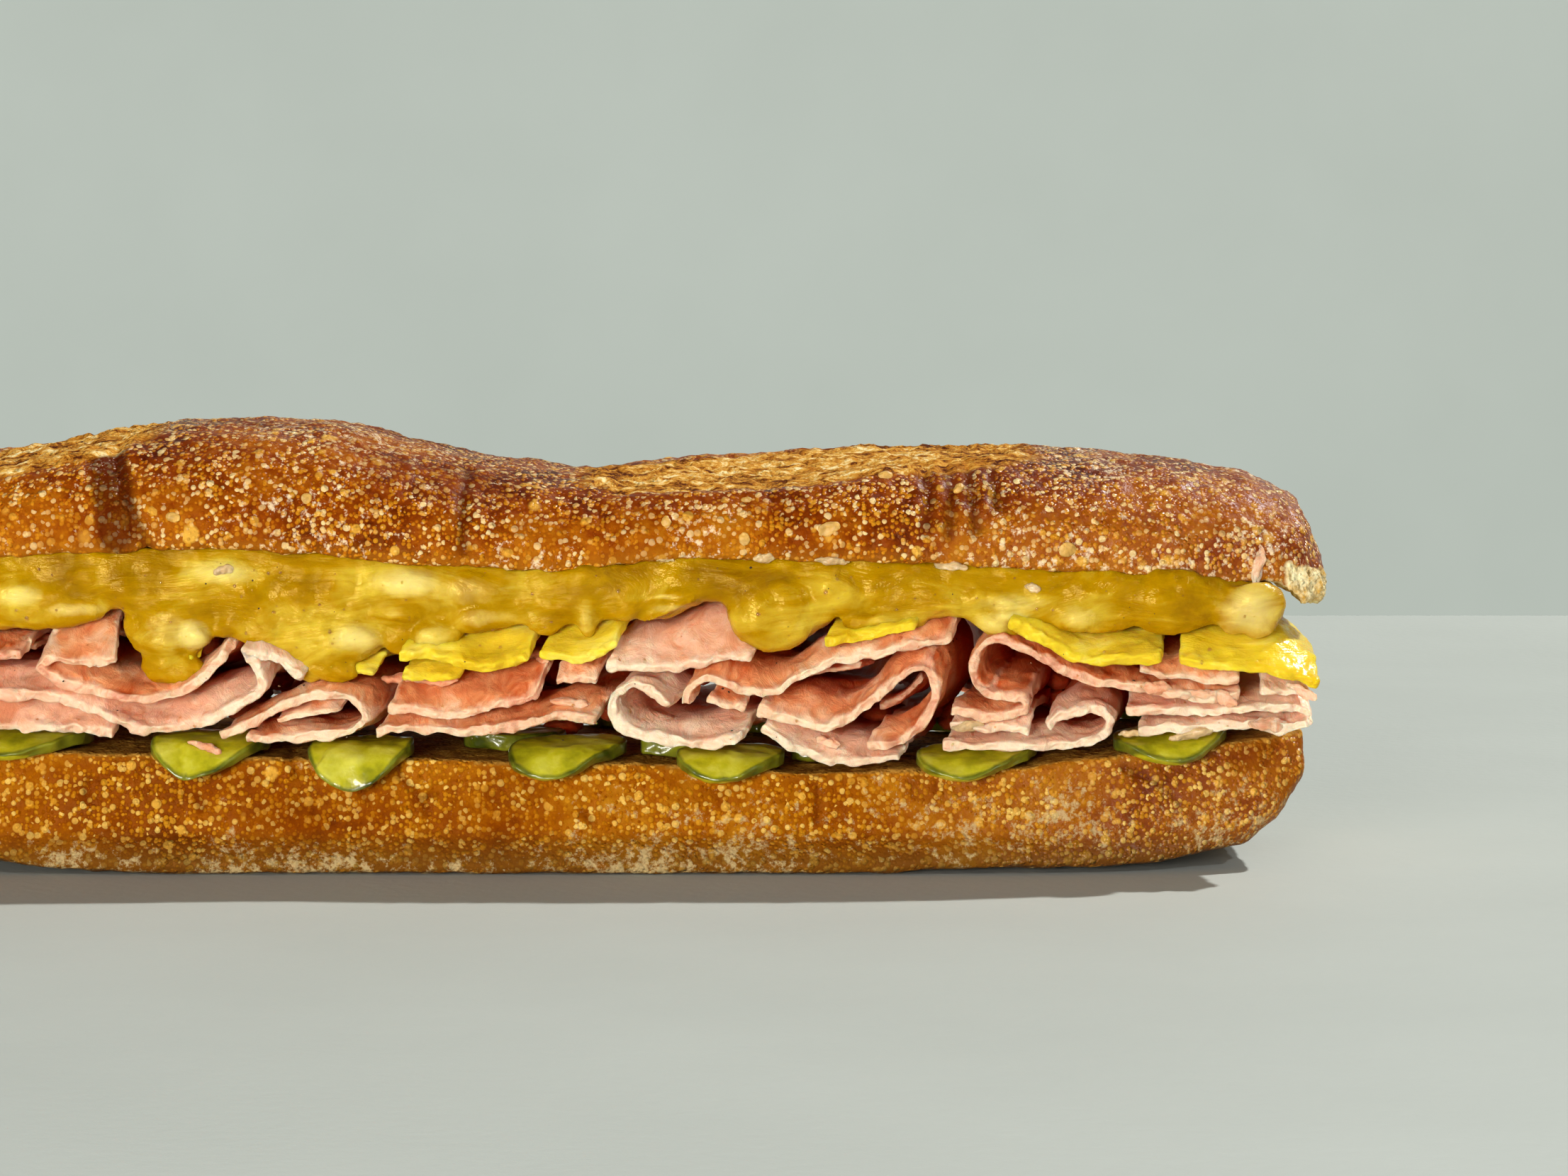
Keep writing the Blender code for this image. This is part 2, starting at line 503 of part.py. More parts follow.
def make_gherkin(name, slice_, side):
    """One round slice, bent down where it passes the heel's edge. Both faces have the same triangles."""
    points = disc_points(slice_, side, GHERKIN_THICKNESS) + disc_points(slice_, side, 0)
    count, below = GHERKIN_SEGMENTS, len(points) // 2
    faces = []
    for i in range(count):
        k = (i + 1) % count
        near, far = 1 + i, 1 + count + i
        near_next, far_next = 1 + k, 1 + count + k
        for tri in ((0, near, near_next), (near, far, far_next), (near, far_next, near_next)):
            faces += [tri, tuple(below + v for v in reversed(tri))]
        faces += [(far, below + far, below + far_next), (far, below + far_next, far_next)]
    placed = []
    for x, y, z in (bent(*point) for point in points):
        placed.append(drifted(x, y, z + along(HEEL_EDGE, x) + GHERKIN_GAP))
    return make_mesh(name, placed, faces, GHERKIN_FINISH)


def centre(objects):
    """Moves everything so that the origin is under the middle of the whole sandwich."""
    points = [vertex.co for made in objects for vertex in made.data.vertices]
    middle = [(max(p[axis] for p in points) + min(p[axis] for p in points)) / 2 for axis in (0, 1)]
    floor = min(p.z for p in points)
    for made in objects:
        made.data.transform(Matrix.Translation((-middle[0], -middle[1], -floor)))


def main():
    for old in list(bpy.data.objects):
        bpy.data.objects.remove(old)
    made = [make_heel(), make_lid(), make_melt()]
    made += [make_sheet(sheet, "ham", MEAT) for sheet in HAM]
    made += [make_sheet(sheet, "cheese", CHEESE_FINISH) for sheet in CHEESE]
    for side, slices in (("front", GHERKINS), ("back", BACK_GHERKINS)):
        toward = -1 if side == "front" else 1
        for number, slice_ in enumerate(slices, start=1):
            made.append(make_gherkin(f"gherkin_{side}_{number}", slice_, toward))
    centre(made)


main()
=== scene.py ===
"""The looks of a toasted submarine sandwich: crusty split loaf, gherkins, folded ham and melted cheese."""

import math
import random

import bmesh
import bpy
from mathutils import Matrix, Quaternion, Vector


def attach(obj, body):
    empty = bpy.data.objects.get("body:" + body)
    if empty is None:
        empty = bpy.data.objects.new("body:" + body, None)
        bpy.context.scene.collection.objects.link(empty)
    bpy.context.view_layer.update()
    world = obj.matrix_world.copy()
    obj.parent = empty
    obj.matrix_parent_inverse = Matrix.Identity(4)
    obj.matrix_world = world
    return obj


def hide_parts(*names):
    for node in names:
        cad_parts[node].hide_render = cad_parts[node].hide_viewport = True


MM = 0.001
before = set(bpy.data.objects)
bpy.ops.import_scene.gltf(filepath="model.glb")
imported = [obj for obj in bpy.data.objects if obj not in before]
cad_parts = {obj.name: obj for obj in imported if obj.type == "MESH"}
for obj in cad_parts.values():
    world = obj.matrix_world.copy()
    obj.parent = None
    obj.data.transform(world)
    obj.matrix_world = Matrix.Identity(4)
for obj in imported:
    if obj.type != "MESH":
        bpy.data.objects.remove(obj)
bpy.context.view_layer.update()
NODES = sorted(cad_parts)
VOXEL = 0.86 * MM  # the faces that carry the relief of the crust and the melt
SLICE_LEVELS = 3
PER_M = 1000  # over a spacing in millimetres, a pattern's scale
LUMPS_PER_M = 500  # the same for a noise, whose lumps are half as wide as its cells

# Blisters of four sizes, 0.4 to 3 mm across: spacing, least and most radius as shares of it, and height.
# The finest are drawn a little coarser than real ones, so that they show.
BLISTERS = (
    (0.95, 0.3, 0.62, 0.34), (1.5, 0.0, 0.54, 0.5), (2.5, -0.6, 0.46, 0.7), (5.2, -2.2, 0.38, 0.8),
)

# The loaf's own lines, in millimetres, as in the part's source
LID_CREST = (
    (-149.5, 64), (-148, 70), (-142, 76.5), (-132, 80.5), (-110, 82.6), (-90, 87.0), (-62, 88.5),
    (-46, 87.6), (-30, 83.4), (-12, 79.6), (4, 78), (24, 80.4), (60, 82.6), (92, 82.9),
    (122, 80.4), (136, 77.8), (145, 72.5), (148.6, 67), (149.5, 63),
)
LID_EDGE = (
    (-150, 53), (-144, 53.6), (-139, 59), (-110, 62.6), (-66, 64.2), (-28, 61.2), (0, 59.6), (20, 62.2),
    (60, 61.6), (104, 59.6), (132, 57.4), (140, 57.2), (144.5, 52.8), (150, 52.4),
)
HEEL_EDGE = (
    (-147, 25.5), (-130, 24), (-90, 23.6), (-40, 22.4), (10, 21.8), (50, 19.6), (66, 20.4), (90, 20.6),
    (99, 22.2), (120, 23.8), (146, 26.8),
)
SLASH_FALLS = (
    (-149, 0), (-138, 4.4), (-122, 4.6), (-110, 3.4), (-100, 2.9), (-93, 3.8), (-88, 3.0), (-84, 1.0),
    (-79, 0), (1, 0), (6, 1.2), (15, 4.2), (23, 5.4), (48, 6.2), (55, 4.6), (60, 3.5), (70, 2.6),
    (86, 1.9), (97, 0),
)
SLASH_BACK = ((-150, 2), (-79, 20), (1, 2), (97, 24))
SLASH_FRONT = -33.0

# A scorched patch and folds in the lid's front crust and cracks in the heel's, as (x, height) points; the
# folds and cracks carry painted shade
LID_SCORCH = (((-90.4, 84), (-88.4, 76), (-87.4, 67)),)
LID_FOLDS = (
    ((-89, 86), (-88, 80), (-85, 74), (-82.4, 68), (-81, 63)),
    ((71.5, 80), (72.6, 74), (72, 68)), ((76, 81), (77, 75), (76.4, 67)),
    ((80.4, 80), (80.8, 74), (81.8, 68)), ((85, 78), (86, 72)), ((-19, 79), (-19.6, 72), (-19, 64)),
)
HEEL_CRACKS = (
    ((-93.6, 19), (-94.4, 16.4), (-93.8, 14)), ((-54.4, 23), (-53.2, 21.4), (-52.6, 19)),
    ((-32.6, 22), (-32, 19), (-29.6, 16.6), (-27, 13.4), (-26.4, 11.6)), ((-29, 14.6), (-25, 15.4)),
    ((50.2, 17), (50.7, 14), (50.2, 10)), ((-40, 17), (-38.4, 14)), ((4, 12), (6, 9.6)),
    ((111, 20.6), (116, 18.4), (120, 15.6), (122.6, 13)), ((-72, 15), (-71, 12.6)),
)


def linear(code, alpha=1.0):
    """An sRGB hex colour as the linear values that the shader takes."""
    made = []
    for i in (1, 3, 5):
        c = int(code[i:i + 2], 16) / 255
        made.append(c / 12.92 if c <= 0.04045 else ((c + 0.055) / 1.055) ** 2.4)
    return (*made, alpha)


def fill(tree, node, inputs):
    """Sets a node's sockets, by name or in their order, to values or to links from other nodes."""
    named = inputs.items() if isinstance(inputs, dict) else enumerate(inputs)
    for key, value in named:
        if isinstance(value, bpy.types.NodeSocket):
            tree.links.new(value, node.inputs[key])
        else:
            node.inputs[key].default_value = value


def add(tree, kind, inputs=(), stops=(), out=0, **settings):
    """Adds a node with its settings, its values and links, and its ramp's stops (the two outermost first)."""
    made = tree.nodes.new(f"ShaderNode{kind}")
    for key, value in settings.items():
        setattr(made, key, value)
    fill(tree, made, inputs)
    for i, (place, code) in enumerate(stops):
        ramp = made.color_ramp.elements
        stop = ramp[i] if i < 2 else ramp.new(place)
        stop.position, stop.color = place, linear(code)
    return made.outputs if out is None else made.outputs[out]


def start_material(name):
    """A new material: its node tree, its shader and its object coordinates."""
    material = bpy.data.materials.new(name)
    material.use_nodes = True
    tree = material.node_tree
    place = add(tree, "TexCoord", out="Object")
    return material, tree, tree.nodes["Principled BSDF"], place


def sums(tree, *terms):
    """The sum of (value, weight) pairs."""
    total = None
    for value, weight in terms:
        scaled = add(tree, "Math", (value, weight), operation="MULTIPLY")
        total = scaled if total is None else add(tree, "Math", (total, scaled))
    return total


def product(tree, first, *others):
    """The product of several values."""
    for other in others:
        first = add(tree, "Math", (first, other), operation="MULTIPLY")
    return first


def painted(tree, under, over, share, weight=1.0):
    """A colour laid over another one by a share, thinned by its weight."""
    if weight != 1.0:
        share = product(tree, share, weight)
    return add(tree, "Mix", {0: share, 6: under, 7: over}, out=2, data_type="RGBA")


def spots(tree, place, size, least, most):
    """Round spots `size` millimetres apart, each of its own radius: how far in, and each one's own value."""
    cells = add(tree, "TexVoronoi", {"Vector": place, "Scale": PER_M / size}, out=None)
    own = add(tree, "SeparateColor", (cells["Color"],), out="Red")
    radius = add(tree, "MapRange", (own, 0, 1, least, most))
    return sums(tree, (radius, 1.0), (cells["Distance"], -1.0)), own


def baked_crust(name, shades, floury):
    """Baked wheat crust: brittle and browned, crowded with small glossy blisters paler than the gaps, with
    painted glints on it and painted shade in its folds.
    """
    material, tree, shader, place = start_material(name)
    broad, patches, fine, grit, crowding, holes = (
        add(tree, "TexNoise", {"Vector": place, "Scale": LUMPS_PER_M / size, "Detail": detail,
                               "Roughness": rough})
        for size, detail, rough in ((30, 3, 0.55), (8, 5, 0.62), (1.5, 4, 0.65), (0.5, 2, 0.55),
                                    (9, 3, 0.55), (1.7, 6, 0.75)))
    lip, fold, burnt, torn, crumb = (
        add(tree, "Attribute", out="Fac", attribute_name=marking)
        for marking in ("lip", "fold", "scorched", "torn", "crumb"))
    where = add(tree, "SeparateXYZ", (place,), out=None)
    tone = sums(tree, (broad, 0.35), (patches, 0.5), (fine, 0.3))
    if not floury:
        # the oven browns the crown most
        crown = add(tree, "MapRange", (where["Z"], 0.068, 0.086))
        tone = sums(tree, (tone, 1.0), (crown, -0.06))
    colour = add(tree, "ValToRGB", (tone,),
                 ((0.42, shades[0]), (0.74, shades[3]), (0.53, shades[1]), (0.63, shades[2])))
    colour = painted(tree, colour, linear("#C9841E"), lip, 0.6)
    colour = painted(tree, colour, linear(shades[0]), 0.4)
    # the blisters are thinner in some patches
    crowd = add(tree, "MapRange", (crowding, 0.36, 0.54, 0.4, 1.0))
    relief = sums(tree, (fine, 0.3), (grit, 0.15), (patches, 0.4))
    gloss = crowd
    for size, least, most, raised in BLISTERS:
        inside, own = spots(tree, place, size, least, most)
        dot = product(tree, add(tree, "MapRange", (inside, -0.03, 0.08)), crowd)
        swell = product(tree, add(tree, "MapRange", (inside, -0.05, 0.34)), crowd)
        # the palest tint of the finest blisters is partly painted glints
        palest = ("#F4CA66" if floury else "#FFE2A0") if size < 2 else "#EDB548"
        tint = add(tree, "ValToRGB", (own,),
                   ((0.1, shades[1]), (1.0, palest), (0.45, shades[2]), (0.8, shades[3])))
        colour = painted(tree, colour, tint, dot, 0.8)
        relief = sums(tree, (relief, 1.0), (swell, raised))
        gloss = sums(tree, (gloss, 1.0), (dot, 0.3))
    if floury:
        # bench flour clings to the base, and in patches above it towards the right
        low = add(tree, "MapRange", (where["Z"], 0.009, 0.003))
        right = product(tree, add(tree, "MapRange", (where["X"], 0.0, 0.05)),
                        add(tree, "MapRange", (where["Z"], 0.022, 0.012)),
                        add(tree, "MapRange", (where["Z"], 0.003, 0.008)))
        sifted = product(tree, low, add(tree, "MapRange", (where["X"], 0.02, 0.07, 0.14, 0.06)))
        flour = add(tree, "TexNoise",
                    {"Vector": place, "Scale": LUMPS_PER_M / 1.1, "Detail": 4, "Roughness": 0.75})
        dust = sums(tree, (sifted, 1.0), (right, 0.12), (flour, 1.0), (patches, 0.5))
        colour = painted(tree, colour, linear("#644012"), low, 0.75)
        colour = painted(tree, colour, linear("#CDB884"), add(tree, "MapRange", (dust, 0.9, 1.02)), 0.62)
    else:
        # painted glints: fine pale flecks in patches, most of them towards the right, standing in for the
        # lamps' sparkle on the crust
        flecks, clouds = (
            add(tree, "TexNoise", {"Vector": place, "Scale": LUMPS_PER_M / size, "Detail": 3,
                                   "Roughness": rough})
            for size, rough in ((0.9, 0.7), (14, 0.55)))
        right = add(tree, "MapRange", (where["X"], 0.05, 0.12))
        flecks = sums(tree, (flecks, 1.0), (clouds, 0.5), (right, 0.05))
        pale = add(tree, "MapRange", (flecks, 0.87, 0.98, 0.0, 0.75))
        colour = painted(tree, colour, linear("#F6DDB6"), pale)
    # painted shade in the folds and cracks
    colour = painted(tree, colour, linear(shades[0]), fold, 0.8)
    scorched = add(tree, "MapRange", (sums(tree, (burnt, 1.0), (patches, 0.5)), 0.5, 0.8))
    colour = painted(tree, colour, linear(shades[0]), scorched, 0.8)
    # the skin in the slashes tears into straws
    pulled = add(tree, "Mapping", {"Vector": place, "Scale": (0.6, 1, 1)})
    straws = add(tree, "TexNoise", {"Vector": pulled, "Scale": LUMPS_PER_M / 2.8, "Detail": 6,
                                    "Roughness": 0.78, "Distortion": 1.4})
    straw = add(tree, "ValToRGB", (sums(tree, (straws, 1.1), (fine, 0.3), (broad, 0.2)),),
                ((0.68, "#54220A"), (0.95, "#FCE8AC"), (0.76, "#B4701E"), (0.85, "#DDA646")))
    colour = painted(tree, colour, straw, torn)
    # the heel's crumb is drawn darker brown than the lid's
    soaked = ("#7A4A10", "#B98838") if floury else ("#CE9C3C", "#FFEFBC")
    white = add(tree, "ValToRGB", (sums(tree, (holes, 1.2), (fine, 0.3)),),
                ((0.58, soaked[0]), (0.86, soaked[1])))
    colour = painted(tree, colour, white, crumb)
    dull = sums(tree, (gloss, -0.2), (fine, 0.3), (crumb, 0.5), (torn, 0.4))
    to_right = add(tree, "MapRange", (where["X"], 0.06, 0.12))
    fill(tree, shader, {
        "Base Color": colour, "IOR": 1.45,
        "Subsurface Weight": 0.06, "Subsurface Radius": (1.0, 0.5, 0.2), "Subsurface Scale": 0.001,
        "Roughness": add(tree, "MapRange", (dull, -0.25, 0.3, 0.18, 0.75)),
        "Specular IOR Level": add(tree, "MapRange", (dull, -0.2, 0.1, 0.5, 0.06)),
        "Specular Tint": painted(tree, linear("#D88A3C"), linear("#FBEFF4"), to_right),
        "Normal": add(tree, "Bump", {"Height": relief, "Distance": 0.8 * MM}),
    })
    return material


def melted_cheese(name, deep, mid, pale):
    """Melted semi-hard cheese: fatty and translucent, amber where it is thin and paler on its lumps, whose
    paleness is partly painted light.
    """
    material, tree, shader, place = start_material(name)
    drawn_out = add(tree, "Mapping", {"Vector": place, "Scale": (0.45, 1, 1.5)})
    marbled, clots, pulled, fine = (
        add(tree, "TexNoise", {"Vector": spot, "Scale": LUMPS_PER_M / size, "Detail": detail,
                               "Roughness": rough, "Distortion": twist})
        for spot, size, detail, rough, twist in ((place, 13, 4, 0.55, 1.2), (place, 4.0, 4, 0.55, 0),
                                                 (drawn_out, 5.5, 5, 0.6, 2.2), (place, 0.9, 3, 0.55, 0)))
    thick = add(tree, "Attribute", out="Fac", attribute_name="thick")
    tone = sums(tree, (marbled, 0.45), (clots, 0.2), (pulled, 0.35), (thick, 0.24))
    colour = add(tree, "ValToRGB", (tone,), ((0.38, deep), (0.72, pale), (0.54, mid)))
    # paler and creamier on the lumps: partly the cheese's own colour, partly painted light where they catch
    # the lamps
    solid = sums(tree, (thick, 1.0), (clots, 0.6), (pulled, 0.4))
    creamy = add(tree, "MapRange", (solid, 0.85, 1.4, 0.0, 0.55))
    relief = sums(tree, (clots, 0.45), (fine, 0.22), (marbled, 0.4), (pulled, 0.6))
    fill(tree, shader, {
        "Base Color": painted(tree, colour, linear("#EADB98"), creamy), "IOR": 1.46,
        "Subsurface Weight": 0.7, "Subsurface Radius": (1.0, 0.62, 0.08), "Subsurface Scale": 0.0032,
        "Roughness": add(tree, "MapRange", (clots, 0.36, 0.6, 0.4, 0.16)),
        "Specular IOR Level": 0.3, "Specular Tint": linear("#F2D27A"),
        "Normal": add(tree, "Bump", {"Height": relief, "Distance": 0.8 * MM}),
    })
    return material


def cooked_ham(name, deep, mid, pale):
    """Cooked cured pork leg: moist, fibrous and translucent, so light through the slices turns red; the shade
    deep inside the sandwich is painted red-brown.
    """
    material, tree, shader, place = start_material(name)
    along_grain = add(tree, "Mapping", {"Vector": place, "Scale": (1, 0.3, 1)})
    broad, grain, fine = (
        add(tree, "TexNoise", {"Vector": spot, "Scale": LUMPS_PER_M / size, "Detail": detail,
                               "Roughness": rough, "Distortion": twist})
        for spot, size, detail, rough, twist in ((place, 16, 3, 0.55, 0), (along_grain, 2.2, 5, 0.66, 1.0),
                                                 (place, 0.6, 3, 0.55, 0)))
    where = add(tree, "SeparateXYZ", (place,), out=None)
    # painted shade: red-brown deep inside the sandwich, where the slices shade each other, but not at its
    # ends
    depth, along_x = (add(tree, "Math", (where[axis],), operation="ABSOLUTE") for axis in ("Y", "X"))
    inner = product(tree, add(tree, "MapRange", (depth, 0.033, 0.016, 0.0, 0.92)),
                    add(tree, "MapRange", (along_x, 0.14, 0.126)))
    rim = add(tree, "Attribute", out="Fac", attribute_name="rim")
    edge = sums(tree, (rim, 1.0), (grain, 0.6), (broad, 0.4))
    colour = add(tree, "ValToRGB", (sums(tree, (broad, 0.62), (grain, 0.48)),),
                 ((0.42, deep), (0.7, pale), (0.55, mid)))
    colour = painted(tree, colour, linear("#FBE0C2"), add(tree, "MapRange", (edge, 1.2, 1.55)), 0.6)
    relief = sums(tree, (grain, 0.9), (fine, 0.25), (broad, 0.2))
    fill(tree, shader, {
        "Base Color": painted(tree, colour, linear("#D44810"), inner), "IOR": 1.4,
        "Subsurface Weight": 0.6, "Subsurface Radius": (1.0, 0.34, 0.2), "Subsurface Scale": 0.0025,
        "Roughness": add(tree, "MapRange", (grain, 0.3, 0.7, 0.3, 0.5)),
        "Specular IOR Level": add(tree, "MapRange", (inner, 0.2, 0.8, 0.42, 0.03)),
        "Normal": add(tree, "Bump", {"Height": relief, "Distance": 0.7 * MM}),
    })
    return material


def pickled_gherkin(name):
    """Pickled gherkin: wet, glassy yellow-green flesh, and a thin dark bumpy skin."""
    material, tree, shader, place = start_material(name)
    cloud, fine = (
        add(tree, "TexNoise", {"Vector": place, "Scale": LUMPS_PER_M / size, "Detail": detail,
                               "Roughness": 0.55})
        for size, detail in ((5, 4), (1.1, 3)))
    flesh = add(tree, "ValToRGB", (sums(tree, (cloud, 0.75), (fine, 0.25)),),
                ((0.36, "#8C8A0C"), (0.68, "#DAD45A"), (0.5, "#BCB41C")))
    rim = add(tree, "Attribute", out="Fac", attribute_name="rim")
    peel = add(tree, "MapRange", (sums(tree, (rim, 1.0), (fine, 0.16)), 0.88, 1.0))
    green = painted(tree, linear("#39420A"), linear("#8A8A1E"), add(tree, "MapRange", (cloud, 0.35, 0.65)))
    relief = sums(tree, (cloud, 0.5), (fine, 0.35))
    fill(tree, shader, {
        "Base Color": painted(tree, flesh, green, peel), "IOR": 1.38, "Roughness": 0.3,
        "Subsurface Weight": 0.6, "Subsurface Radius": (0.8, 1.0, 0.1), "Subsurface Scale": 0.003,
        "Coat Weight": 0.45, "Coat Roughness": 0.04,
        "Normal": add(tree, "Bump", {"Height": relief, "Distance": 0.5 * MM}),
    })
    return material


def plain_food(name, code, roughness, depth, bleed):
    """Small scraps of one colour, darker in patches: pork fat, bread crumbs, ground pepper."""
    material, tree, shader, place = start_material(name)
    fine = add(tree, "TexNoise", {"Vector": place, "Scale": LUMPS_PER_M, "Detail": 4, "Roughness": 0.55})
    darker = [c * 0.62 for c in linear(code)[:3]] + [1.0]
    fill(tree, shader, {
        "Base Color": painted(tree, linear(code), darker, add(tree, "MapRange", (fine, 0.35, 0.65))),
        "Subsurface Weight": bleed, "Subsurface Radius": (1.0, 0.6, 0.35), "Subsurface Scale": 0.002,
        "Roughness": roughness, "Normal": add(tree, "Bump", {"Height": fine, "Distance": depth * MM}),
    })
    return material


def rendered_fat(name):
    """Melted fat and brine: clear drops that catch the lamp."""
    material, tree, shader, _ = start_material(name)
    fill(tree, shader, {
        "Base Color": linear("#FFF0C8"), "Roughness": 0.05, "IOR": 1.4, "Transmission Weight": 0.95,
    })
    return material


def deselect():
    """Leaves edit mode and deselects everything."""
    if bpy.context.mode != "OBJECT":
        bpy.ops.object.mode_set(mode="OBJECT")
    bpy.ops.object.select_all(action="DESELECT")


def only(piece):
    """Selects one piece alone and makes it the active one."""
    deselect()
    piece.select_set(True)
    bpy.context.view_layer.objects.active = piece


def joined(pieces):
    """Joins pieces into the first one."""
    only(pieces[0])
    for piece in pieces:
        piece.select_set(True)
    if len(pieces) > 1:
        bpy.ops.object.join()
    return pieces[0]


def copy_of(name, node):
    """A new piece from a merged copy of a CAD node, with quads where two triangles make one."""
    piece = bpy.data.objects.new(name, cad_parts[node].data.copy())
    bpy.context.scene.collection.objects.link(piece)
    only(piece)
    piece.data.materials.clear()
    bpy.ops.object.mode_set(mode="EDIT")
    bpy.ops.mesh.select_all(action="SELECT")
    bpy.ops.mesh.remove_doubles(threshold=0.00002)
    bpy.ops.mesh.customdata_custom_splitnormals_clear()
    bpy.ops.mesh.mark_sharp(clear=True)
    bpy.ops.mesh.tris_convert_to_quads(face_threshold=math.radians(50), shape_threshold=math.radians(60))
    bpy.ops.object.mode_set(mode="OBJECT")
    return piece


def apply(piece, kind, **settings):
    """Adds one modifier to a piece and applies it."""
    only(piece)
    modifier = piece.modifiers.new(kind.lower(), kind)
    for key, value in settings.items():
        setattr(modifier, key, value)
    bpy.ops.object.modifier_apply(modifier=modifier.name)


def displace(piece, kind, size, depth, group="", direction="NORMAL"):
    """Raises and lowers a surface by up to half of `depth` millimetres, in lumps of `size` millimetres."""
    texture = bpy.data.textures.new(f"{kind.lower()}_{size}", kind)
    texture.noise_scale = size * MM
    apply(piece, "DISPLACE", texture=texture, strength=depth * MM, mid_level=0.5, texture_coords="LOCAL",
          vertex_group=group, direction=direction)


def push(piece, group, depth, direction="NORMAL"):
    """Moves the points of a vertex group by `depth` millimetres."""
    apply(piece, "DISPLACE", strength=depth * MM, mid_level=0, vertex_group=group, direction=direction)


def mark(piece, name, share_at):
    """Marks a piece from 0 to 1 by a function of its points in millimetres, for shader and modifiers."""
    shares = [share_at(vertex.co / MM, vertex.normal) for vertex in piece.data.vertices]
    piece.data.attributes.new(name, "FLOAT", "POINT").data.foreach_set("value", shares)
    group = piece.vertex_groups.new(name=name)
    for i, share in enumerate(shares):
        if share > 0:
            group.add([i], share, "REPLACE")


def mark_rim(piece, angle=0.8):
    """Marks the corners of a slice's cut rim, so that the marking fades inwards when it is subdivided."""
    shape = bmesh.new()
    shape.from_mesh(piece.data)
    sharp = {v.index for e in shape.edges if e.is_manifold and e.calc_face_angle() > angle for v in e.verts}
    shape.free()
    shares = [float(i in sharp) for i in range(len(piece.data.vertices))]
    piece.data.attributes.new("rim", "FLOAT", "POINT").data.foreach_set("value", shares)
    piece.vertex_groups.new(name="rim").add(sorted(sharp), 1.0, "REPLACE")


def crease_rim(piece, amount):
    """Keeps a slice's cut rim crisp when it is subdivided."""
    only(piece)
    bpy.ops.object.mode_set(mode="EDIT")
    bpy.ops.mesh.select_mode(type="EDGE")
    bpy.ops.mesh.select_all(action="DESELECT")
    bpy.ops.mesh.edges_select_sharp(sharpness=math.radians(50))
    bpy.ops.transform.edge_crease(value=amount)
    bpy.ops.object.mode_set(mode="OBJECT")


def placed(piece, material, slot, *nodes):
    """Finishes a piece: smooth shading, its material, its body and the CAD nodes that it stands for."""
    only(piece)
    bpy.ops.object.shade_smooth()
    piece.data.materials.clear()
    piece.data.materials.append(material)
    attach(piece, "root")
    if nodes:
        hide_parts(*nodes)
    return piece


def along(line, x):
    """The value of a line through (x, value) points."""
    if x <= line[0][0]:
        return line[0][1]
    for (x0, z0), (x1, z1) in zip(line, line[1:]):
        if x <= x1:
            t = (x - x0) / (x1 - x0)
            return z0 + (z1 - z0) * 0.5 * (t + t * t * (3 - 2 * t))
    return line[-1][1]


def held(value):
    """A value held between 0 and 1."""
    return min(max(value, 0), 1)


def evened(piece, factor, iterations):
    """Gives a piece even, fine faces and rounds off the solid's flats."""
    apply(piece, "REMESH", mode="VOXEL", voxel_size=VOXEL)
    apply(piece, "SMOOTH", factor=factor, iterations=iterations)


def near_lines(at, normal, lines, width):
    """1 on the front's lines, fading to 0 at `width` from them."""
    if normal.y > 0.2 or at.y > -20:
        return 0.0
    best = width
    for line in lines:
        for (x0, z0), (x1, z1) in zip(line, line[1:]):
            run, rise = x1 - x0, z1 - z0
            t = held(((at.x - x0) * run + (at.z - z0) * rise) / (run * run + rise * rise))
            best = min(best, math.hypot(at.x - x0 - run * t, at.z - z0 - rise * t))
    return 1 - best / width


def torn_share(at, normal):
    """1 on the torn skin inside the baker's slashes, fading at its ragged edges."""
    fall = along(SLASH_FALLS, at.x)
    if fall <= 0.1 or normal.z < 0.66 or at.y < SLASH_FRONT + 4.4:
        return 0.0
    back = along(SLASH_BACK, at.x)
    share = held((at.y - SLASH_FRONT) / (back - SLASH_FRONT))
    level = along(LID_CREST, at.x) - fall * (1 - share)
    near = 1 - min(abs(at.z - level + 0.4) / 1.6, 1)
    inside = held((back - at.y) / 3) * min(fall / 1.2, 1)
    return min(1.0, near * 2.4) * inside


def lid_crumb_share(at, normal):
    """1 on the cut face under the lid and on the bread that hangs below the crust at its ends."""
    if normal.z < -0.75 and abs(at.y) < 32:
        return 1.0
    return float(abs(at.x) > 141 and at.z < 61 - (abs(at.x) - 141) * 0.25)


def make_lid(material):
    """The lid: crust with blisters and wrinkles, torn skin in the slashes, crumb at the cut."""
    piece = copy_of("lid_crust", "bread_lid")
    evened(piece, 0.5, 3)
    mark(piece, "torn", torn_share)
    mark(piece, "crumb", lid_crumb_share)
    mark(piece, "fold", lambda at, normal: near_lines(at, normal, LID_FOLDS, 2.0))
    mark(piece, "scorched", lambda at, normal: near_lines(at, normal, LID_SCORCH, 6.5))
    mark(piece, "lip", lambda at, normal: held(1 - (at.z - along(LID_EDGE, at.x)) / 3.4))
    push(piece, "fold", -0.8)
    mark(piece, "right_end", lambda at, normal: held((at.x - 124) / 20))
    push(piece, "right_end", 2.6, "X")
    displace(piece, "CLOUDS", 12, 1.2)
    displace(piece, "CLOUDS", 4, 0.9)
    displace(piece, "VORONOI", 2.6, -0.6)
    displace(piece, "CLOUDS", 2.2, 1.6, "torn")
    displace(piece, "CLOUDS", 2.2, 2.4, "crumb")
    return placed(piece, material, "bread_crust", "bread_lid")


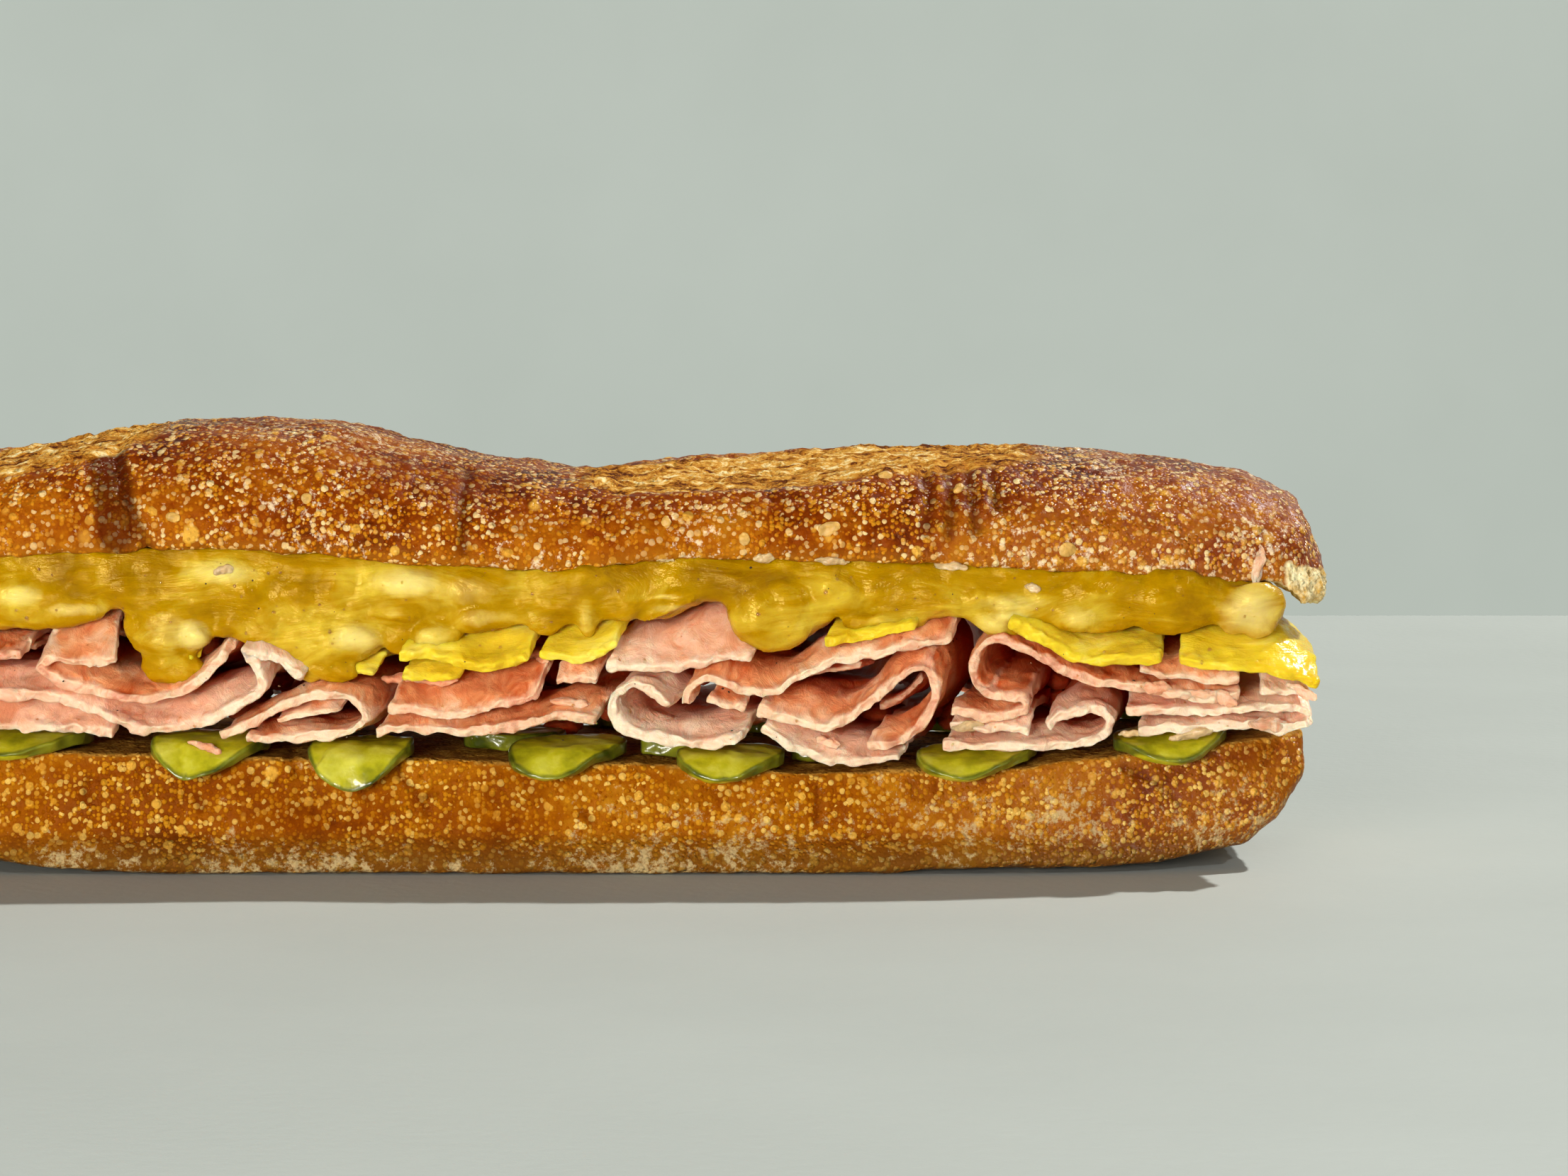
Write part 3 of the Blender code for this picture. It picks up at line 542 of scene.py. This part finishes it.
def make_heel(material):
    """The heel: thinner golden crust, cracked in places and floury underneath, with crumb on its cut face."""
    piece = copy_of("heel_crust", "bread_heel")
    evened(piece, 0.5, 3)
    mark(piece, "crumb", lambda at, normal: float(normal.z > 0.7 and at.z > 17))
    mark(piece, "fold", lambda at, normal: near_lines(at, normal, HEEL_CRACKS, 1.0))
    mark(piece, "lip", lambda at, normal: held(1 - (along(HEEL_EDGE, at.x) - at.z) / 2.2))
    push(piece, "fold", -0.6)
    for side, name in ((-1, "front_foot"), (1, "back_foot")):
        # the weight of the sandwich spreads the heel's base
        mark(piece, name, lambda at, normal: held((7 - at.z) / 7) * held((side * at.y - 18) / 10))
        push(piece, name, side * 7.0, "Y")
    mark(piece, "right_foot", lambda at, normal: held((at.x - 84) / 34) * held((14 - at.z) / 14))
    push(piece, "right_foot", -2.4, "Z")
    mark(piece, "right_end", lambda at, normal: held((at.x - 128) / 14))
    push(piece, "right_end", 2.0, "X")
    displace(piece, "CLOUDS", 9, 0.9)
    displace(piece, "CLOUDS", 3, 0.5)
    return placed(piece, material, "bread_crust", "bread_heel")


# Lengths in the melt, from the middle: its faces, and where and by how much they are pressed back
MELT_FACE, PRESSED_FROM, PRESSED_OVER, PRESSED_BY = 34.6, 35.2, 6, 2.8

# Lumps in the melted mass: x, height, half sizes in x and height, how far they stand out, tilt and paleness,
# which is partly the cheese's own and partly painted light on lumps that catch the lamps
LUMPS = (
    (-128, 53, 13, 6, 3.0, 0, 0.3), (-104, 54, 11, 5.6, 3.2, 4, 0.2), (-96, 51, 7, 2.4, 3.6, 10, 0.5),
    (-77.5, 48.4, 8.8, 6.4, 5.0, 0, 0.7), (-61, 54, 9, 6, 3.0, -20, 0.0),
    (-46.5, 46.4, 10, 5.8, 5.2, 0, 0.5), (-23, 56, 19, 4.2, 4.8, 3, 0.8),
    (-15, 50.6, 9, 2.4, 3.8, 0, 0.8), (-33, 51.4, 6, 2.0, 4.2, -8, 0.7),
    (4.8, 51.2, 1.8, 4.6, 4.2, 8, 0.7), (16, 54.6, 10.4, 3.6, 4.2, 16, 0.25),
    (21.6, 52.4, 7, 1.2, 5.0, 30, 0.8), (20, 54.8, 6.4, 0.9, 5.2, 12, 0.8),
    (3, 58.4, 6, 2.4, 3.0, 4, 0.5), (41.5, 51.4, 9.2, 7.4, 5.8, 0, 0.1),
    (54.6, 55.8, 5.8, 4.4, 5.0, -24, 0.5), (44.6, 49, 5, 4, 6.2, 0, 0.6), (64, 49.8, 9, 2.4, 4.6, 4, 0.6),
    (70, 54.4, 9.2, 4.6, 4.4, 0, 0.1), (76, 53.2, 3.4, 2.4, 5.2, 30, 0.5),
    (88.5, 53.4, 9.6, 2.3, 5.0, -18, 0.9), (85, 49.6, 5.6, 2.8, 3.8, -14, 1.0),
    (102, 50.6, 5.4, 3.2, 5.0, 10, 0.9), (108, 55.6, 11, 4.6, 4.2, -4, 0.05),
    (119.6, 53.4, 9.4, 6.8, 4.6, 0, 0.05), (135.6, 52, 7.4, 5.6, 3.6, 0, 1.3),
    (-60, 47.2, 7.5, 3.2, 2.4, -30, 0.0), (-52.6, 42.8, 7.2, 3.4, 2.4, -38, 0.0),
    (-46, 40.4, 6, 2.6, 3.0, -14, 0.4), (-77, 40.4, 6.6, 3.4, 3.4, -4, 0.6),
    (-72.6, 47.4, 3.4, 3.4, 6.0, 0, 1.5), (-105.6, 54.8, 5, 2.6, 4.4, -34, 1.3),
    (-96, 52.2, 6.4, 1.8, 4.2, 8, 1.2), (-67, 59.6, 8, 3, 3.2, 10, 1.2),
    (-40.4, 46.4, 5.6, 3.2, 6.2, 0, 1.4), (-30, 57.4, 8, 3, 5.2, 0, 1.5), (-25, 47, 5, 3, 4.6, 0, 0.8),
    (88, 51, 5, 1.4, 5.2, -20, 1.2), (-66.4, 49.8, 3.6, 3.2, 2.0, 0, 0.0),
    (-32, 46.6, 3, 3.6, 1.4, 0, 0.0), (-3.4, 49.6, 3.6, 2.6, 2.0, 0, 0.0),
)


def thick_share(at, normal):
    """How pale the melted mass is: paler on its lumps, partly as painted light where they catch the lamps."""
    best = 0.0
    for x, height, wide, tall, out, tilt, pale in LUMPS:
        away = ((at.x - x) / wide) ** 2 + ((at.z - height) / tall) ** 2
        best = max(best, pale * math.exp(-away))
    return best / 1.5


def lump(x, height, wide, tall, out, tilt, pale, side):
    """One smooth lump on the melted mass. Side is -1 at the front and 1 at the back."""
    deselect()
    bpy.ops.mesh.primitive_uv_sphere_add(segments=24, ring_count=14, radius=MM,
                                         location=(x * MM, side * MELT_FACE * MM, height * MM),
                                         rotation=(0, math.radians(-tilt), 0), scale=(wide, out + 1.4, tall))
    made = bpy.context.active_object
    bpy.ops.object.transform_apply(location=True, rotation=True, scale=True)
    return made


def make_melt(material):
    """The melted cheese under the lid: one mass with lumps and drips, pressed up against the bread."""
    piece = copy_of("melted_cheese", "cheese_melt")
    mark(piece, "top", lambda at, normal: float(at.z > along(LID_EDGE, at.x) - 3))
    push(piece, "top", 1.5, "Z")
    piece = joined([piece] + [lump(*values, side) for side in (-1, 1) for values in LUMPS])
    evened(piece, 0.6, 2)
    mark(piece, "thick", thick_share)
    for side, name in ((-1, "front"), (1, "back")):
        # flattened as if the lid had pressed it
        mark(piece, name, lambda at, normal: held((side * at.y - PRESSED_FROM) / PRESSED_OVER))
        push(piece, name, side * -PRESSED_BY, "Y")
    displace(piece, "CLOUDS", 10, 2.2)
    displace(piece, "STUCCI", 5, 1.2)
    displace(piece, "CLOUDS", 3, 0.8)
    displace(piece, "CLOUDS", 1.6, 0.35)
    return placed(piece, material, "cheese", "cheese_melt")


# The slices rise behind their front and back edges, so that their faces show; those with a hollow rise less
SLICE_REACH, LIFT_DEPTH, SLICE_LIFT, HOLLOW_LIFT = 38.6, 8.0, 2.3, 0.7
HOLLOW_SLICES = ("ham_ring", "ham_right_loop", "ham_hairpin", "ham_flat_loop", "ham_end_loop", "ham_s_curl")
# Slices in a paler copy of the ham: partly paler meat, partly painted light on slices whose faces catch the
# front lamp
PALE_SLICES = (
    "ham_pink_flap", "ham_ring", "ham_right_loop", "ham_drape", "ham_hairpin", "ham_tongue", "ham_end_leaf",
    "ham_pale_layer", "ham_fan",
)


def make_slice(node, name, material, slot, rough, crisp, angle=0.8, lift=0.0):
    """A thin slice: crisp or rounded rims, ragged front and back edges, and a gentle waviness."""
    piece = copy_of(name, node)
    mark_rim(piece, angle)
    crease_rim(piece, crisp)
    push(piece, "rim", -0.3)
    apply(piece, "SUBSURF", levels=SLICE_LEVELS, render_levels=SLICE_LEVELS)
    if lift:
        mark(piece, "inner", lambda at, normal: held((SLICE_REACH - abs(at.y)) / LIFT_DEPTH))
        push(piece, "inner", lift, "Z")
    displace(piece, "CLOUDS", 11, 3.0 * rough, direction="Z")
    displace(piece, "CLOUDS", 5, rough)
    displace(piece, "CLOUDS", 1.8, rough * 0.5)
    displace(piece, "CLOUDS", 6, 3.4 * rough, "rim", "Y")
    displace(piece, "CLOUDS", 2.4, 3.0 * rough, "rim", "Y")
    displace(piece, "CLOUDS", 3.4, 1.5 * rough, "rim", "Z")
    displace(piece, "CLOUDS", 1.1, 1.3 * rough, "rim", "Y")
    return placed(piece, material, slot, node)


def make_fillings():
    """Dresses every slice of ham, cheese and gherkin."""
    salmon = cooked_ham("cooked_ham", "#C65A28", "#E99762", "#FACDA4")
    # the paler copy is partly painted light, for slices that face the front lamp
    pale = cooked_ham("cooked_ham_pale", "#E29A72", "#F3BE9C", "#FCDCBE")
    cheese = melted_cheese("softened_cheese_slice", "#D2AC12", "#EECE34", "#FBEA88")
    gherkin = pickled_gherkin("pickled_gherkin")
    for node in NODES:
        food = node.split("_")[0]
        name = node.replace(f"{food}_", f"{food}_slice_")
        if food == "ham":
            lift = HOLLOW_LIFT if node in HOLLOW_SLICES else SLICE_LIFT
            make_slice(node, name, pale if node in PALE_SLICES else salmon, "ham", 0.9, 0.45, lift=lift)
        elif food == "cheese" and node != "cheese_melt":
            make_slice(node, name, cheese, "cheese", 0.8, 0.35, lift=SLICE_LIFT)
        elif food == "gherkin":
            make_slice(node, name, gherkin, "gherkin", 0.4, 0.5, 1.25)


def front_of(x, height, side=-1):
    """The first point that a straight look from one side meets, in millimetres, and its normal."""
    graph = bpy.context.evaluated_depsgraph_get()
    hit, at, normal, *rest = bpy.context.scene.ray_cast(
        graph, Vector((x, side * 200, height)) * MM, Vector((0, -side, 0)))
    return (at / MM, normal) if hit else (Vector((x, side * 34, height)), Vector((0, side, 0)))


# The camera's place, the front of the fillings, and how much farther along a look from there the middle is
EYE, FRONT, TO_MIDDLE = Vector((43.9, -933.0, 127.0)), -36, 1.04

# Scraps on the front face: x, height, half sizes along, up and out, and tilt
HAM_SCRAPS = (
    (137.6, 60.2, 1.2, 4.4, 0.5, -8), (-70.4, 25.0, 3.4, 0.9, 0.8, -32), (52.6, 25.6, 2.8, 1.7, 0.9, -20),
    (117, 37, 3.4, 1.1, 1.0, -6), (126, 35.4, 5.4, 0.9, 0.8, 4), (131, 34.6, 2.2, 1.3, 0.9, -30),
    (146, 36, 3.4, 1.3, 0.6, -24), (-28, 37.9, 8.6, 1.7, 0.9, 2), (-4.6, 42.2, 3.2, 1.2, 0.6, -18),
    (139, 29.8, 5.2, 1.5, 0.7, -4), (1.6, 33.6, 4.4, 1.2, 0.8, -12),
)
FAT_SCRAPS = (
    (40, 62.2, 2.2, 0.9, 0.5, 0), (53.4, 61.9, 3.6, 0.9, 0.6, -4), (75, 61, 5.4, 1.1, 0.4, -6),
    (124.6, 27.8, 5, 1.1, 0.8, 16), (112.8, 27.4, 3, 0.8, 0.6, 4),
    (20.5, 62, 1.8, 0.6, 0.4, 0), (-66, 60, 2, 0.9, 0.4, 10), (80, 29.2, 3.6, 1.0, 0.5, 4),
    (92.4, 56.6, 1.6, 0.8, 0.4, -10),
)
CRUST_FLAKES = (
    (78.3, 75.7, 1.1, 1.3, 0.5, 0), (20.8, 69.6, 1.0, 1.1, 0.5, 0), (36.1, 66.1, 1.2, 1.4, 0.5, 10),
    (36.4, 73.5, 1.0, 0.7, 0.4, 0), (52.5, 68, 2.4, 1.4, 0.3, 20), (99.6, 64, 2, 1.3, 0.3, 0),
    (64, 78.2, 1.4, 1.0, 0.4, 0), (-76, 70.4, 1.4, 1.0, 0.4, 0), (-50, 74, 1.2, 1.2, 0.4, 0),
)
# Scraps of ham deep inside, where slits between the slices would let daylight through
INNER_SCRAPS = (
    (-102.5, 46.5, 4, 3, 8, 0), (-79.5, 46, 4, 3, 8, 0), (-67, 44, 3, 3, 8, 0), (-1, 40, 4, 3, 8, 0),
    (-2.4, 46, 4, 2.6, 8, 0), (45, 46, 3, 2.4, 8, 0), (61.5, 31.6, 4, 3, 8, 0), (139, 50.4, 3, 1.6, 8, 0),
    (97, 35, 3.4, 2.4, 8, 0), (77, 30.4, 3, 2, 8, 0), (0.5, 29.3, 4, 1.6, 8, 0),
    (-34.6, 31.8, 3.2, 3.2, 8, 0), (-1.8, 49.4, 3.4, 2.4, 8, 0), (-55.6, 38.8, 3.4, 2.4, 8, 0),
    (9.6, 33, 2.6, 2.6, 8, 0), (73.6, 33.4, 3, 2.4, 8, 0), (-60.6, 32.8, 5.6, 3.0, 8, 0),
    (97, 38.6, 3.4, 2.2, 8, 0), (110.6, 34.8, 3, 2.6, 8, 0), (76.4, 32.8, 3, 2.2, 8, 0),
)


def scrap(x, height, wide, tall, out, tilt, inside=False):
    """One rounded scrap, pressed onto whatever shows there, or lying deep inside the sandwich."""
    if inside:
        # where the camera's look through (x, height) at the front reaches the middle
        at, normal = EYE + (Vector((x, FRONT, height)) - EYE) * TO_MIDDLE, Vector((0, -1, 0))
    else:
        at, normal = front_of(x, height)
    turn = normal.to_track_quat("Y", "Z") @ Quaternion((0, 1, 0), math.radians(tilt))
    deselect()
    bpy.ops.mesh.primitive_ico_sphere_add(subdivisions=4, radius=MM, location=(at + normal * out * 0.2) * MM,
                                          rotation=turn.to_euler(), scale=(wide, out, tall))
    made = bpy.context.active_object
    bpy.ops.object.transform_apply(location=True, rotation=True, scale=True)
    return made


def make_scraps(name, material, slot, places, rough, inside=False):
    """All the scraps of one food, torn and uneven."""
    piece = joined([scrap(*place, inside) for place in places])
    piece.name = name
    displace(piece, "CLOUDS", 3, 1.6 * rough)
    displace(piece, "CLOUDS", 1.2, 0.9 * rough)
    return placed(piece, material, slot)


def make_grains(name, material, count, seed, least, most, flatness):
    """Grains or drops over the fillings on both sides, modelled once and copied, each of its own size."""
    chance = random.Random(seed)
    deselect()
    bpy.ops.mesh.primitive_ico_sphere_add(subdivisions=2, radius=MM)
    first = bpy.context.active_object
    made = [first]
    while len(made) < count:
        only(first)
        bpy.ops.object.duplicate()
        made.append(bpy.context.active_object)
    for grain in made:
        x, side = chance.uniform(-138, 140), chance.choice((-1, -1, 1))
        at, normal = front_of(x, chance.uniform(along(HEEL_EDGE, x) + 3, along(LID_EDGE, x) - 1), side)
        size = least + (most - least) * chance.random() ** 2.5
        grain.location, grain.scale = at * MM, (size, size * chance.uniform(0.7, 1.4), size * flatness)
        grain.rotation_euler = normal.to_track_quat("Z", "Y").to_euler()
    piece = joined(made)
    only(piece)
    bpy.ops.object.transform_apply(location=True, rotation=True, scale=True)
    piece.name = name
    return placed(piece, material, "ham")


def make_small_pieces():
    """The scraps, flakes, grains and drops that have no solid of their own."""
    ham = cooked_ham("cooked_ham_scrap", "#DE8C62", "#F2B08A", "#FBD8BC")
    fat = plain_food("pork_fat", "#E5C08A", 0.35, 0.4, 0.5)
    make_scraps("ham_scraps", ham, "ham", HAM_SCRAPS, 1.0)
    make_scraps("fat_scraps", fat, "ham", FAT_SCRAPS, 0.9)
    make_scraps("inner_ham_scraps", ham, "ham", INNER_SCRAPS, 0.6, True)
    make_scraps("crust_flakes", plain_food("toasted_crust_flake", "#E3AE52", 0.5, 0.4, 0.1), "bread_crust",
                CRUST_FLAKES, 0.5)
    make_grains("ground_pepper", plain_food("ground_pepper", "#3A2410", 0.7, 0.2, 0.0), 70, 5, 0.1, 0.3, 0.6)
    make_grains("fat_drops", rendered_fat("rendered_fat"), 320, 8, 0.15, 0.5, 0.5)


def make_stage():
    """A pale grey table before an evenly lit grey-green wall, far enough off to look at the back."""
    material, tree, shader, place = start_material("grey_painted_board")
    cloud, grain = (
        add(tree, "TexNoise", {"Vector": place, "Scale": LUMPS_PER_M / size, "Detail": detail,
                               "Roughness": rough})
        for size, detail, rough in ((60, 5, 0.6), (1.5, 3, 0.55)))
    fill(tree, shader, {
        "Base Color": painted(tree, linear("#A9AFAA"), linear("#B7BDB8"), cloud), "Roughness": 0.7,
        "Normal": add(tree, "Bump", {"Height": grain, "Distance": 0.12 * MM}),
    })
    bpy.ops.mesh.primitive_plane_add(size=1, location=(0.04, -0.4, 0))
    table = bpy.context.active_object
    table.scale = (3.6, 1.93, 1)
    bpy.ops.object.transform_apply(location=True, rotation=True, scale=True)
    table.name = "table"
    table.data.materials.append(material)
    wall_material, tree, shader, place = start_material("grey_green_wall")
    cloud = add(tree, "TexNoise", {"Vector": place, "Scale": LUMPS_PER_M / 200, "Detail": 5,
                                   "Roughness": 0.6})
    glow = painted(tree, linear("#ACB4AB"), linear("#B3BBB2"), add(tree, "MapRange", (cloud, 0.3, 0.7)))
    fill(tree, shader, {
        "Base Color": linear("#5C615E"), "Roughness": 0.9, "Emission Color": glow, "Emission Strength": 1.0,
    })
    deselect()
    bpy.ops.mesh.primitive_plane_add(size=1, location=(0.04, 2.4, 1.0), rotation=(math.radians(90), 0, 0))
    wall = bpy.context.active_object
    wall.scale = (8.0, 3.2, 1)
    bpy.ops.object.transform_apply(location=True, rotation=True, scale=True)
    wall.name = "wall"
    wall.visible_shadow = False
    wall.data.materials.append(wall_material)


def area_light(name, place, aim, size, power, colour="#FFFFFF"):
    """A softbox at a place, turned to a point."""
    lamp = bpy.data.lights.new(name, "AREA")
    lamp.shape, lamp.size, lamp.size_y = "RECTANGLE", size[0], size[1]
    lamp.energy, lamp.color = power, linear(colour)[:3]
    made = bpy.data.objects.new(name, lamp)
    made.location = place
    made.rotation_euler = (Vector(aim) - Vector(place)).to_track_quat("-Z", "Y").to_euler()
    bpy.context.scene.collection.objects.link(made)


def make_lights():
    """A hard lamp high behind on the right throws the short shadow; a low softbox lights the front."""
    area_light("lamp_behind_right", (2.148, 1.676, 2.97), (0.0, 0.0, 0.03), (0.1, 0.1), 168, "#FFFDF8")
    area_light("front_softbox", (-0.42, -1.25, 0.13), (0.0, 0.0, 0.05), (0.6, 0.3), 19, "#FFFCF6")
    area_light("sparkle_lamp", (0.75, -0.75, 0.75), (0.05, 0.0, 0.05), (0.02, 0.02), 3)
    world = bpy.data.worlds.new("studio")
    bpy.context.scene.world = world
    world.use_nodes = True
    background = world.node_tree.nodes["Background"]
    background.inputs["Color"].default_value = linear("#DDE3DE")
    background.inputs["Strength"].default_value = 0.06


def make_camera():
    """The photograph's view: from a little above the sandwich, with its left end out of the frame."""
    aim, lift, distance = Vector((0.0439, -0.036, 0.0564)), math.radians(4.5), 0.9
    camera = bpy.data.objects.new("camera", bpy.data.cameras.new("camera"))
    camera.data.lens, camera.data.sensor_width = 105, 36
    camera.data.clip_start = 0.01
    camera.location = aim + Vector((0, -math.cos(lift), math.sin(lift))) * distance
    camera.rotation_euler = (aim - camera.location).to_track_quat("-Z", "Y").to_euler()
    bpy.context.scene.collection.objects.link(camera)
    bpy.context.scene.camera = camera
    # the plain transform keeps browns and yellows as strong as they are in the photograph
    bpy.context.scene.view_settings.view_transform = "Standard"


def main():
    """Dresses the bread, the melt and the fillings, and sets the stage."""
    make_camera()
    make_lid(baked_crust("baked_wheat_crust_dark", ("#481202", "#963F04", "#C26C0C", "#DA9420"), False))
    make_heel(baked_crust("baked_wheat_crust_golden", ("#5C2000", "#8E4402", "#B06404", "#D08C18"), True))
    make_melt(melted_cheese("melted_cheese", "#8A5E00", "#B48802", "#DCC03C"))
    make_fillings()
    make_small_pieces()
    make_stage()
    make_lights()
    deselect()


main()
